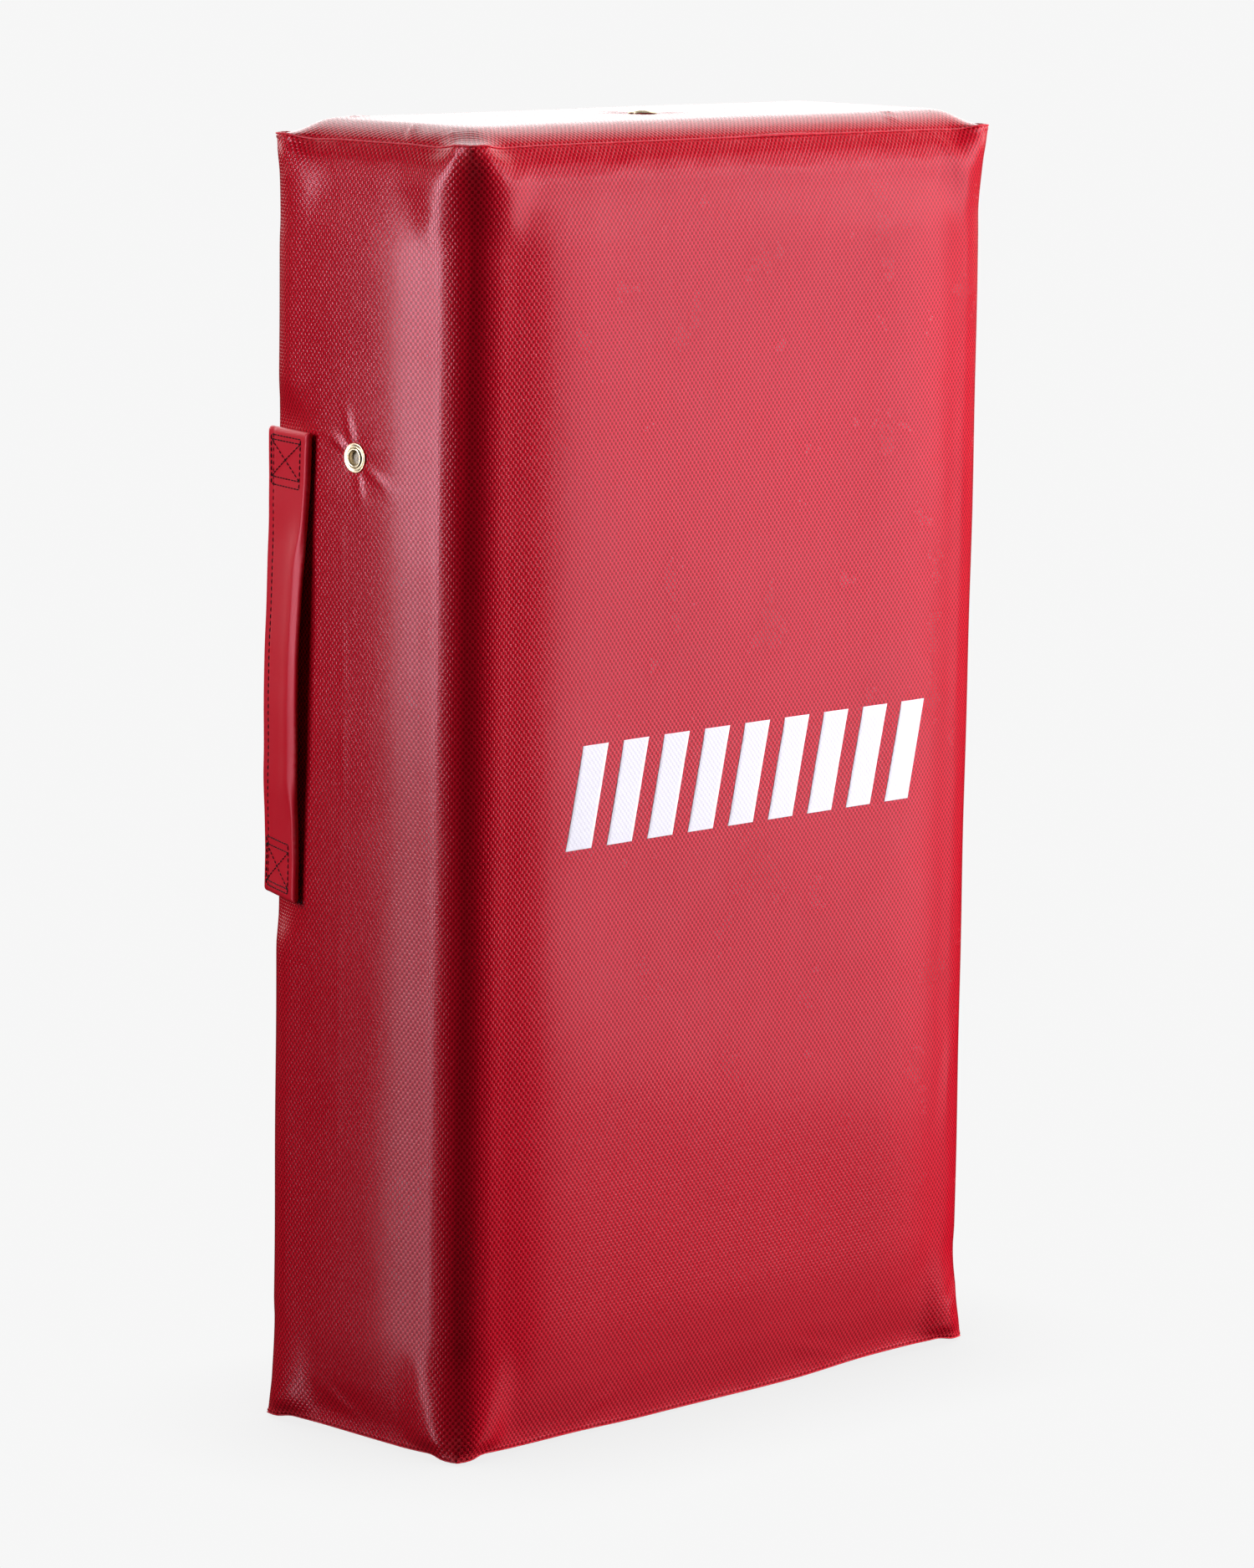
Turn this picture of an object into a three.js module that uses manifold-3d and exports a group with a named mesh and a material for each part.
// A rectangular kick shield, built as the sewn object is: two foam slabs inside a vinyl cover, a strap
// handle sewn near each back corner, two forearm straps across the back, brass vent eyelets and a zip.
// Millimetres. The strike face looks along -Y, the back along +Y, +Z is up, and the origin is the centre
// of the base, so the shield stands on z = 0.
import * as THREE from "three";
import { mergeVertices } from "three/addons/utils/BufferGeometryUtils.js";
import Module from "manifold-3d";

const wasm = await Module();
wasm.setup();

// ---------------------------------------------------------------- driving dimensions
const BODY = { width: 366, depth: 135, height: 616, edgeRadius: 24 };
const VINYL = 1.2; // cover sheet with the scrim inside it
const GAP = 0.3; // clearance between separate pieces
const LINING = 2.5; // room between cover and foam for patches and eyelet backs
const FOAM_JOINT_Y = 16; // plane where the strike slab meets the backing slab

const EYELET = { flangeR: 7, barrelR: 3.75, boreR: 3.15, flangeT: 1, rollR: 5.2, rollT: 0.7 };
const WASHER = { outerR: 6.6, boreR: 4.1, thickness: 0.5 };
const SIDE_EYELET = { y: 3, z: 466 };

const HANDLE = {
  width: 38,
  length: 222,
  z: 365, // height of its middle
  tab: 38, // sewn end, turned under on itself
  tabT: 4.4,
  along: 3, // middle of its tabs, past the line where the back corner's curve starts
  lean: THREE.MathUtils.degToRad(18), // turn of its pull direction from the side towards the back
  shift: 7, // middle of the loop, towards the strike face from the line where its plane would touch
  rise: 0.8, // inside of the loop above the cover where it leaves a tab
  sag: 4, // how much further out the middle of the loop stands
  sleeveT: 3.4,
  coreT: 0.8,
};
const ARM_STRAP = {
  width: 50,
  span: 300, // over both tabs
  tab: 36,
  tabT: 3.6,
  heights: { upper: 430, lower: 240 },
  rise: 0.6,
  sag: 42, // room for a forearm
  sleeveT: 3.4,
  coreT: 0.8,
};
const SLEEVE_WALL = 1;
const SLEEVE_SEAM = 2; // each long edge of a sleeve, folded or sewn shut
const PATCH = { thickness: 0.8, margin: 5 };
const THREAD = { width: 0.8, height: 0.5 };

const ZIP = { z: 34, opening: 6, tapeWidth: 12, tapeT: 0.8, halfLength: 156, coilWidth: 2.3, coilT: 1.6 };
const SLIDER = { x: 143, length: 11, halfWidth: 4.4, wall: 1.2, plate: 1.5, clear: 0.5 };
const BAIL = { length: 5.6, width: 2.6, height: 3.2, windowLength: 3, windowHeight: 1.8 };
const PULL = { pinR: 0.6, arm: 1, armLength: 5, tabLength: 19, tabHalfWidth: 3.5, thickness: 1.2 };
const STOP = { x: 152, length: 4, halfWidth: 3.2, thickness: 2.2 };

// ---------------------------------------------------------------- places worked out from them
const HALF = { x: BODY.width / 2, y: BODY.depth / 2 };
const CORNER = { x: HALF.x - BODY.edgeRadius, y: HALF.y - BODY.edgeRadius };
const WALL_BOTTOM = VINYL + GAP;
const WALL_TOP = BODY.height - VINYL - GAP;
const INSIDE = VINYL + LINING; // foam surface below the cover's outer face
const QUARTER = Math.PI / 2;
const CORNER_STEPS = 5;
const BOW_STEPS = 10;
const SIDES = [["left", -1], ["right", 1]]; // as seen from the strike face

// ---------------------------------------------------------------- materials
const finish = (color, roughness, metalness = 0) =>
  new THREE.MeshStandardMaterial({ color, roughness, metalness });
const MATERIALS = {
  vinyl: finish(0xa8121f, 0.42),
  strap: finish(0xa5141f, 0.38),
  webbing: finish(0x1c1c1e, 0.85),
  patch: finish(0x7d0f18, 0.6),
  thread: finish(0x17070a, 0.8),
  strikeFoam: finish(0xe9e4d4, 0.95),
  backingFoam: finish(0x3a3b3e, 0.95),
  brass: finish(0xd9bd6a, 0.22, 1),
  zipTape: finish(0x55090f, 0.8),
  nickel: finish(0xb9bbbd, 0.3, 1),
};

// ---------------------------------------------------------------- solids
// A closed geometry as a manifold-3d solid.
function toSolid(geometry) {
  const bare = geometry.index ? geometry.toNonIndexed() : geometry.clone();
  bare.deleteAttribute("normal");
  bare.deleteAttribute("uv");
  const merged = mergeVertices(bare, 1e-4);
  return new wasm.Manifold(
    new wasm.Mesh({
      numProp: 3,
      vertProperties: merged.attributes.position.array,
      triVerts: new Uint32Array(merged.index.array),
    }),
  );
}

// A manifold-3d solid as a geometry.
function toGeometry(solid) {
  const mesh = solid.getMesh();
  const geometry = new THREE.BufferGeometry();
  geometry.setAttribute("position", new THREE.BufferAttribute(mesh.vertProperties, 3));
  geometry.setIndex(new THREE.BufferAttribute(mesh.triVerts, 1));
  return geometry;
}

const union = (geometries) => toGeometry(geometries.map(toSolid).reduce((a, b) => a.add(b)));
const subtract = (geometry, ...tools) =>
  toGeometry(tools.map(toSolid).reduce((a, b) => a.subtract(b), toSolid(geometry)));
const intersect = (a, b) => toGeometry(toSolid(a).intersect(toSolid(b)));

const extrude = (shape, depth) =>
  new THREE.ExtrudeGeometry(shape, { depth, bevelEnabled: false, curveSegments: CORNER_STEPS });

// A box given by its lowest and highest corners.
function boxBetween(low, high) {
  const size = low.map((v, i) => high[i] - v);
  const middle = low.map((v, i) => (high[i] + v) / 2);
  return new THREE.BoxGeometry(...size).translate(...middle);
}

// A cylinder along X, Y or Z through a point.
function rod(radius, length, axis, point, segments = 24) {
  const geometry = new THREE.CylinderGeometry(radius, radius, length, segments);
  if (axis === "x") geometry.rotateZ(QUARTER);
  if (axis === "z") geometry.rotateX(QUARTER);
  return geometry.translate(...point);
}

function addMesh(parent, name, geometry, material) {
  const mesh = new THREE.Mesh(geometry, material);
  mesh.name = name;
  parent.add(mesh);
  return mesh;
}

// ---------------------------------------------------------------- cover
// Plan of the body, set in from its outer face. Corners of zero radius come out square.
function planShape(inset, yLow, yHigh, frontRadius, backRadius) {
  const x = HALF.x - inset;
  const shape = new THREE.Shape();
  shape.moveTo(-x, yHigh - backRadius);
  shape.lineTo(-x, yLow + frontRadius);
  if (frontRadius) shape.absarc(-x + frontRadius, yLow + frontRadius, frontRadius, Math.PI, 3 * QUARTER);
  shape.lineTo(x - frontRadius, yLow);
  if (frontRadius) shape.absarc(x - frontRadius, yLow + frontRadius, frontRadius, 3 * QUARTER, 4 * QUARTER);
  shape.lineTo(x, yHigh - backRadius);
  if (backRadius) shape.absarc(x - backRadius, yHigh - backRadius, backRadius, 0, QUARTER);
  shape.lineTo(-x + backRadius, yHigh);
  if (backRadius) shape.absarc(-x + backRadius, yHigh - backRadius, backRadius, QUARTER, Math.PI);
  return shape;
}

// The sheet that runs round both sides and the front, from one back seam to the other.
function wrapShape() {
  const outer = BODY.edgeRadius;
  const inner = outer - VINYL;
  const shape = new THREE.Shape();
  shape.moveTo(-CORNER.x, HALF.y);
  shape.absarc(-CORNER.x, CORNER.y, outer, QUARTER, 2 * QUARTER);
  shape.absarc(-CORNER.x, -CORNER.y, outer, 2 * QUARTER, 3 * QUARTER);
  shape.absarc(CORNER.x, -CORNER.y, outer, 3 * QUARTER, 4 * QUARTER);
  shape.absarc(CORNER.x, CORNER.y, outer, 0, QUARTER);
  shape.absarc(CORNER.x, CORNER.y, inner, QUARTER, 0, true);
  shape.absarc(CORNER.x, -CORNER.y, inner, 4 * QUARTER, 3 * QUARTER, true);
  shape.absarc(-CORNER.x, -CORNER.y, inner, 3 * QUARTER, 2 * QUARTER, true);
  shape.absarc(-CORNER.x, CORNER.y, inner, 2 * QUARTER, QUARTER, true);
  return shape;
}

function addCover(shield) {
  const holeR = WASHER.boreR;
  const sideHoles = rod(holeR, BODY.width * 2, "x", [0, SIDE_EYELET.y, SIDE_EYELET.z]);
  const wall = extrude(wrapShape(), WALL_TOP - WALL_BOTTOM).translate(0, 0, WALL_BOTTOM);
  addMesh(shield, "cover_wrap", subtract(wall, sideHoles), MATERIALS.vinyl);

  const outline = () => planShape(0, -HALF.y, HALF.y, BODY.edgeRadius, BODY.edgeRadius);
  addMesh(shield, "bottom_panel", extrude(outline(), VINYL), MATERIALS.vinyl);
  const top = outline();
  top.holes.push(new THREE.Path().absarc(0, 0, holeR, 0, 4 * QUARTER));
  addMesh(shield, "top_panel", extrude(top, VINYL), MATERIALS.vinyl).position.z = BODY.height - VINYL;

  const seamX = CORNER.x - GAP;
  const [yIn, yOut] = [HALF.y - VINYL, HALF.y];
  const lower = boxBetween([-seamX, yIn, WALL_BOTTOM], [seamX, yOut, ZIP.z - ZIP.opening]);
  const upper = boxBetween([-seamX, yIn, ZIP.z + ZIP.opening], [seamX, yOut, WALL_TOP]);
  addMesh(shield, "back_panel_lower", lower, MATERIALS.vinyl);
  addMesh(shield, "back_panel_upper", upper, MATERIALS.vinyl);
}

function addFoam(shield) {
  const cornerR = BODY.edgeRadius - INSIDE;
  const height = BODY.height - 2 * INSIDE;
  const strike = planShape(INSIDE, -HALF.y + INSIDE, FOAM_JOINT_Y - GAP / 2, cornerR, 0);
  const backing = planShape(INSIDE, FOAM_JOINT_Y + GAP / 2, HALF.y - INSIDE, 0, cornerR);
  addMesh(shield, "strike_foam", extrude(strike, height), MATERIALS.strikeFoam).position.z = INSIDE;
  addMesh(shield, "backing_foam", extrude(backing, height), MATERIALS.backingFoam).position.z = INSIDE;
}

// ---------------------------------------------------------------- eyelets
// Both pieces turn about +Y, which points out of the cover; the cover's outer face is at y = 0.
function addEyelet(shield, name, place) {
  const backY = -VINYL - 2 * GAP - WASHER.thickness;
  const eyelet = [
    [EYELET.boreR, backY - GAP - EYELET.rollT],
    [EYELET.rollR, backY - GAP - EYELET.rollT],
    [EYELET.rollR, backY - GAP],
    [EYELET.barrelR, backY - GAP],
    [EYELET.barrelR, GAP],
    [EYELET.flangeR, GAP],
    [EYELET.flangeR - EYELET.flangeT / 2, GAP + EYELET.flangeT],
    [EYELET.boreR + EYELET.flangeT, GAP + EYELET.flangeT],
    [EYELET.boreR, GAP],
  ];
  const washer = [
    [WASHER.boreR, backY],
    [WASHER.outerR, backY],
    [WASHER.outerR, backY + WASHER.thickness],
    [WASHER.boreR, backY + WASHER.thickness],
  ];
  const group = new THREE.Group();
  for (const [part, profile] of [["eyelet", eyelet], ["eyelet_washer", washer]]) {
    const closed = [...profile, profile[0]].map(([r, y]) => new THREE.Vector2(r, y));
    addMesh(group, `${name}_${part}`, new THREE.LatheGeometry(closed, 24), MATERIALS.brass);
  }
  place(group);
  shield.add(group);
}

// ---------------------------------------------------------------- straps
// Side profile of a bowed strap, in its own plane: x along the strap, y out from the body.
// The middle of its thickness passes through y = 0 at both ends of the chord. `beyond` carries the
// profile past the ends, as a turn in radians.
function bowShape(chord, sag, thickness, beyond = 0) {
  const radius = (chord * chord / 4 + sag * sag) / (2 * sag);
  const half = Math.asin(chord / 2 / radius);
  const turns = [];
  for (let i = 0; i <= BOW_STEPS; i++) turns.push(half * ((2 * i) / BOW_STEPS - 1));
  if (beyond) turns.splice(0, 0, -half - beyond);
  if (beyond) turns.push(half + beyond);
  const at = (turn, r) => new THREE.Vector2(r * Math.sin(turn), sag - radius + r * Math.cos(turn));
  const outer = turns.map((turn) => at(turn, radius + thickness / 2));
  const inner = turns.map((turn) => at(turn, radius - thickness / 2)).reverse();
  return new THREE.Shape([...outer, ...inner]);
}

// A folded vinyl sleeve with open ends and the webbing inside it. The strap runs along the group's X,
// bows along its Y and is as wide as its Z.
function addGrip(group, name, spec, chord) {
  const sleeve = extrude(bowShape(chord, spec.sag, spec.sleeveT), spec.width);
  const cavityWidth = spec.width - 2 * SLEEVE_SEAM;
  const cavityT = spec.sleeveT - 2 * SLEEVE_WALL;
  const beyondEnds = 0.05; // radians, so that the cavity opens both ends
  const cavity = extrude(bowShape(chord, spec.sag, cavityT, beyondEnds), cavityWidth);
  const core = extrude(bowShape(chord, spec.sag, spec.coreT), cavityWidth - 2 * GAP);
  sleeve.translate(0, 0, -spec.width / 2);
  cavity.translate(0, 0, -cavityWidth / 2);
  core.translate(0, 0, GAP - cavityWidth / 2);
  addMesh(group, `${name}_sleeve`, subtract(sleeve, cavity), MATERIALS.strap);
  addMesh(group, `${name}_webbing`, core, MATERIALS.webbing);
}

// The box and cross that sews a tab down, with a second row outside each end of the box.
// Width runs along X, the strap's length along Y, and the thread is `height` deep from z = 0.
function crossStitch(width, length, row, height) {
  const [w, l, t] = [width / 2, length / 2, THREAD.width / 2];
  const bars = [-l - row, -l, l, l + row].map((y) => boxBetween([-w, y - t, 0], [w, y + t, height]));
  bars.push(boxBetween([-w, -l - row - t, 0], [-w + 2 * t, l + row + t, height]));
  bars.push(boxBetween([w - 2 * t, -l - row - t, 0], [w, l + row + t, height]));
  const diagonal = Math.hypot(width, length) - THREAD.width;
  for (const turn of [1, -1]) {
    const bar = boxBetween([-diagonal / 2, -t, 0], [diagonal / 2, t, height]);
    bars.push(bar.rotateZ(turn * Math.atan2(length, width)));
  }
  return union(bars);
}

// A point of the left side's outline: `along` runs from where the back corner's curve starts, towards
// the back, and `out` is the distance from the cover's outer face.
function cornerPoint(along, out) {
  if (along <= 0) return new THREE.Vector2(-HALF.x - out, CORNER.y + along);
  const turn = along / BODY.edgeRadius;
  const radius = BODY.edgeRadius + out;
  return new THREE.Vector2(-CORNER.x - radius * Math.cos(turn), CORNER.y + radius * Math.sin(turn));
}

// A layer that follows the left back corner, `width` wide, between two distances from the cover.
function cornerLayer(width, innerOut, outerOut, height) {
  const steps = 8;
  const end = HANDLE.along + width / 2;
  const alongs = [HANDLE.along - width / 2];
  for (let i = 0; i <= steps; i++) alongs.push((end * i) / steps);
  const outer = alongs.map((along) => cornerPoint(along, outerOut));
  const inner = alongs.map((along) => cornerPoint(along, innerOut)).reverse();
  return extrude(new THREE.Shape([...outer, ...inner]), height);
}

// One sewn end of a side handle, centred on height z, with its patch inside the cover.
function addHandleEnd(group, name, z, frame) {
  const { width, tab, tabT, along } = HANDLE;
  const tabLayer = cornerLayer(width, GAP, GAP + tabT, tab).translate(0, 0, z - tab / 2);
  addMesh(group, `${name}_tab`, tabLayer, MATERIALS.strap);

  const patchHeight = tab + 2 * PATCH.margin;
  const patchOut = -VINYL - GAP;
  const patch = cornerLayer(width + 2 * PATCH.margin, patchOut - PATCH.thickness, patchOut, patchHeight);
  addMesh(group, `${name}_patch`, patch.translate(0, 0, z - patchHeight / 2), MATERIALS.patch);

  const threadOut = 2 * GAP + tabT;
  const skin = cornerLayer(width, threadOut, threadOut + THREAD.height, tab).translate(0, 0, z - tab / 2);
  const reach = 40; // deep enough to pass right through the curved skin
  const pattern = crossStitch(width - 7, 18, 3.7, reach).translate(0, 0, -reach / 2);
  const middle = cornerPoint(along, 0);
  pattern.applyMatrix4(frame).translate(middle.x, middle.y, z);
  addMesh(group, `${name}_stitching`, intersect(skin, pattern), MATERIALS.thread);
}

// One side handle, drawn for the left side. Its loop faces `outward`, and `forward` lies across it.
function sideHandle(side) {
  const group = new THREE.Group();
  const outward = new THREE.Vector3(-Math.cos(HANDLE.lean), Math.sin(HANDLE.lean), 0);
  const forward = new THREE.Vector3(-Math.sin(HANDLE.lean), -Math.cos(HANDLE.lean), 0);
  const up = new THREE.Vector3(0, 0, 1);
  const tabMiddle = (HANDLE.length - HANDLE.tab) / 2;
  const frame = new THREE.Matrix4().makeBasis(forward, up, outward);
  addHandleEnd(group, `${side}_handle_upper`, HANDLE.z + tabMiddle, frame);
  addHandleEnd(group, `${side}_handle_lower`, HANDLE.z - tabMiddle, frame);

  const grip = new THREE.Group();
  grip.quaternion.setFromRotationMatrix(new THREE.Matrix4().makeBasis(up, outward, forward));
  grip.position
    .set(-CORNER.x, CORNER.y, HANDLE.z)
    .addScaledVector(outward, BODY.edgeRadius + HANDLE.rise + HANDLE.sleeveT / 2)
    .addScaledVector(forward, HANDLE.shift);
  addGrip(grip, `${side}_handle`, HANDLE, HANDLE.length - 2 * HANDLE.tab - 4 * GAP);
  group.add(grip);
  return group;
}

function addArmStrap(shield, name, z) {
  const tabX = (ARM_STRAP.span - ARM_STRAP.tab) / 2;
  const halfWidth = ARM_STRAP.width / 2;
  const innerFace = HALF.y - VINYL - GAP;
  const tabOuter = HALF.y + GAP + ARM_STRAP.tabT;
  for (const [end, sign] of SIDES) {
    const [x0, x1] = [sign * tabX - ARM_STRAP.tab / 2, sign * tabX + ARM_STRAP.tab / 2];
    const tab = boxBetween([x0, HALF.y + GAP, z - halfWidth], [x1, tabOuter, z + halfWidth]);
    addMesh(shield, `${name}_${end}_tab`, tab, MATERIALS.strap);
    const patch = boxBetween(
      [x0 - PATCH.margin, innerFace - PATCH.thickness, z - halfWidth - PATCH.margin],
      [x1 + PATCH.margin, innerFace, z + halfWidth + PATCH.margin],
    );
    addMesh(shield, `${name}_${end}_patch`, patch, MATERIALS.patch);
    const stitching = crossStitch(ARM_STRAP.width - 8, 20, 3.5, THREAD.height);
    stitching.rotateZ(QUARTER).rotateX(-QUARTER);
    stitching.translate(sign * tabX, tabOuter + GAP, z);
    addMesh(shield, `${name}_${end}_stitching`, stitching, MATERIALS.thread);
  }
  const grip = new THREE.Group();
  grip.position.set(0, HALF.y + ARM_STRAP.rise + ARM_STRAP.sleeveT / 2, z);
  addGrip(grip, name, ARM_STRAP, ARM_STRAP.span - 2 * ARM_STRAP.tab - 8 * GAP);
  shield.add(grip);
}

// ---------------------------------------------------------------- zip
// It runs across the back near the base, between the two back panels.
function addZip(shield) {
  const tapeY = HALF.y - VINYL - GAP;
  const coilY = tapeY + GAP;
  const topOfCoil = coilY + ZIP.coilT;
  const half = GAP / 2;
  for (const [side, sign] of [["upper", 1], ["lower", -1]]) {
    const span = (near, far) => [ZIP.z + sign * near, ZIP.z + sign * far].sort((a, b) => a - b);
    const [t0, t1] = span(half, half + ZIP.tapeWidth);
    const tape = boxBetween([-ZIP.halfLength, tapeY - ZIP.tapeT, t0], [ZIP.halfLength, tapeY, t1]);
    addMesh(shield, `zip_tape_${side}`, tape, MATERIALS.zipTape);
    const [c0, c1] = span(half, half + ZIP.coilWidth);
    const coilEnd = STOP.x - STOP.length / 2 - GAP;
    const coil = boxBetween([-coilEnd, coilY, c0], [coilEnd, topOfCoil, c1]);
    addMesh(shield, `zip_coil_${side}`, coil, MATERIALS.zipTape);
  }
  for (const [side, sign] of SIDES) {
    const x = sign * STOP.x;
    const stop = boxBetween(
      [x - STOP.length / 2, coilY, ZIP.z - STOP.halfWidth],
      [x + STOP.length / 2, coilY + STOP.thickness, ZIP.z + STOP.halfWidth],
    );
    addMesh(shield, `zip_stop_${side}`, stop, MATERIALS.nickel);
  }
  addSlider(shield, coilY + GAP, topOfCoil + SLIDER.clear);
}

// The slider is a channel over the coil with a bail on top; the pull's pin hangs in the bail's window.
function addSlider(shield, wallLow, plateLow) {
  const slider = new THREE.Group();
  slider.position.set(SLIDER.x, 0, ZIP.z);
  const half = SLIDER.length / 2;
  const plateHigh = plateLow + SLIDER.plate;
  const inner = SLIDER.halfWidth - SLIDER.wall;
  const channel = union([
    boxBetween([-half, plateLow, -SLIDER.halfWidth], [half, plateHigh, SLIDER.halfWidth]),
    boxBetween([-half, wallLow, inner], [half, plateHigh, SLIDER.halfWidth]),
    boxBetween([-half, wallLow, -SLIDER.halfWidth], [half, plateHigh, -inner]),
    boxBetween(
      [-BAIL.length / 2, plateLow, -BAIL.width / 2],
      [BAIL.length / 2, plateHigh + BAIL.height, BAIL.width / 2],
    ),
  ]);
  const windowLow = plateHigh + (BAIL.height - BAIL.windowHeight) / 2;
  const opening = boxBetween(
    [-BAIL.windowLength / 2, windowLow, -BAIL.width],
    [BAIL.windowLength / 2, windowLow + BAIL.windowHeight, BAIL.width],
  );
  addMesh(slider, "zip_slider", subtract(channel, opening), MATERIALS.nickel);

  const pinY = windowLow + BAIL.windowHeight / 2;
  const armIn = BAIL.width / 2 + 2 * GAP;
  const armOut = armIn + PULL.arm;
  const [y0, y1] = [pinY - PULL.thickness / 2, pinY + PULL.thickness / 2];
  const tabEnd = -PULL.armLength - PULL.tabLength;
  const pull = union([
    rod(PULL.pinR, 2 * armOut, "z", [0, pinY, 0], 12),
    boxBetween([-PULL.armLength - PULL.arm, y0, armIn], [PULL.pinR, y1, armOut]),
    boxBetween([-PULL.armLength - PULL.arm, y0, -armOut], [PULL.pinR, y1, -armIn]),
    boxBetween([tabEnd, y0, -PULL.tabHalfWidth], [-PULL.armLength, y1, PULL.tabHalfWidth]),
  ]);
  addMesh(slider, "zip_pull", pull, MATERIALS.nickel);
  shield.add(slider);
}

// ---------------------------------------------------------------- the object
const shield = new THREE.Group();
addCover(shield);
addFoam(shield);
addEyelet(shield, "top", (group) => {
  group.rotation.x = QUARTER;
  group.position.z = BODY.height;
});
for (const [side, sign] of SIDES) {
  addEyelet(shield, side, (group) => {
    group.rotation.z = -sign * QUARTER;
    group.position.set(sign * HALF.x, SIDE_EYELET.y, SIDE_EYELET.z);
  });
  const handle = sideHandle(side);
  handle.scale.x = -sign; // the right handle is the left one mirrored
  shield.add(handle);
}
for (const [level, z] of Object.entries(ARM_STRAP.heights)) addArmStrap(shield, `${level}_arm_strap`, z);
addZip(shield);

export default shield;
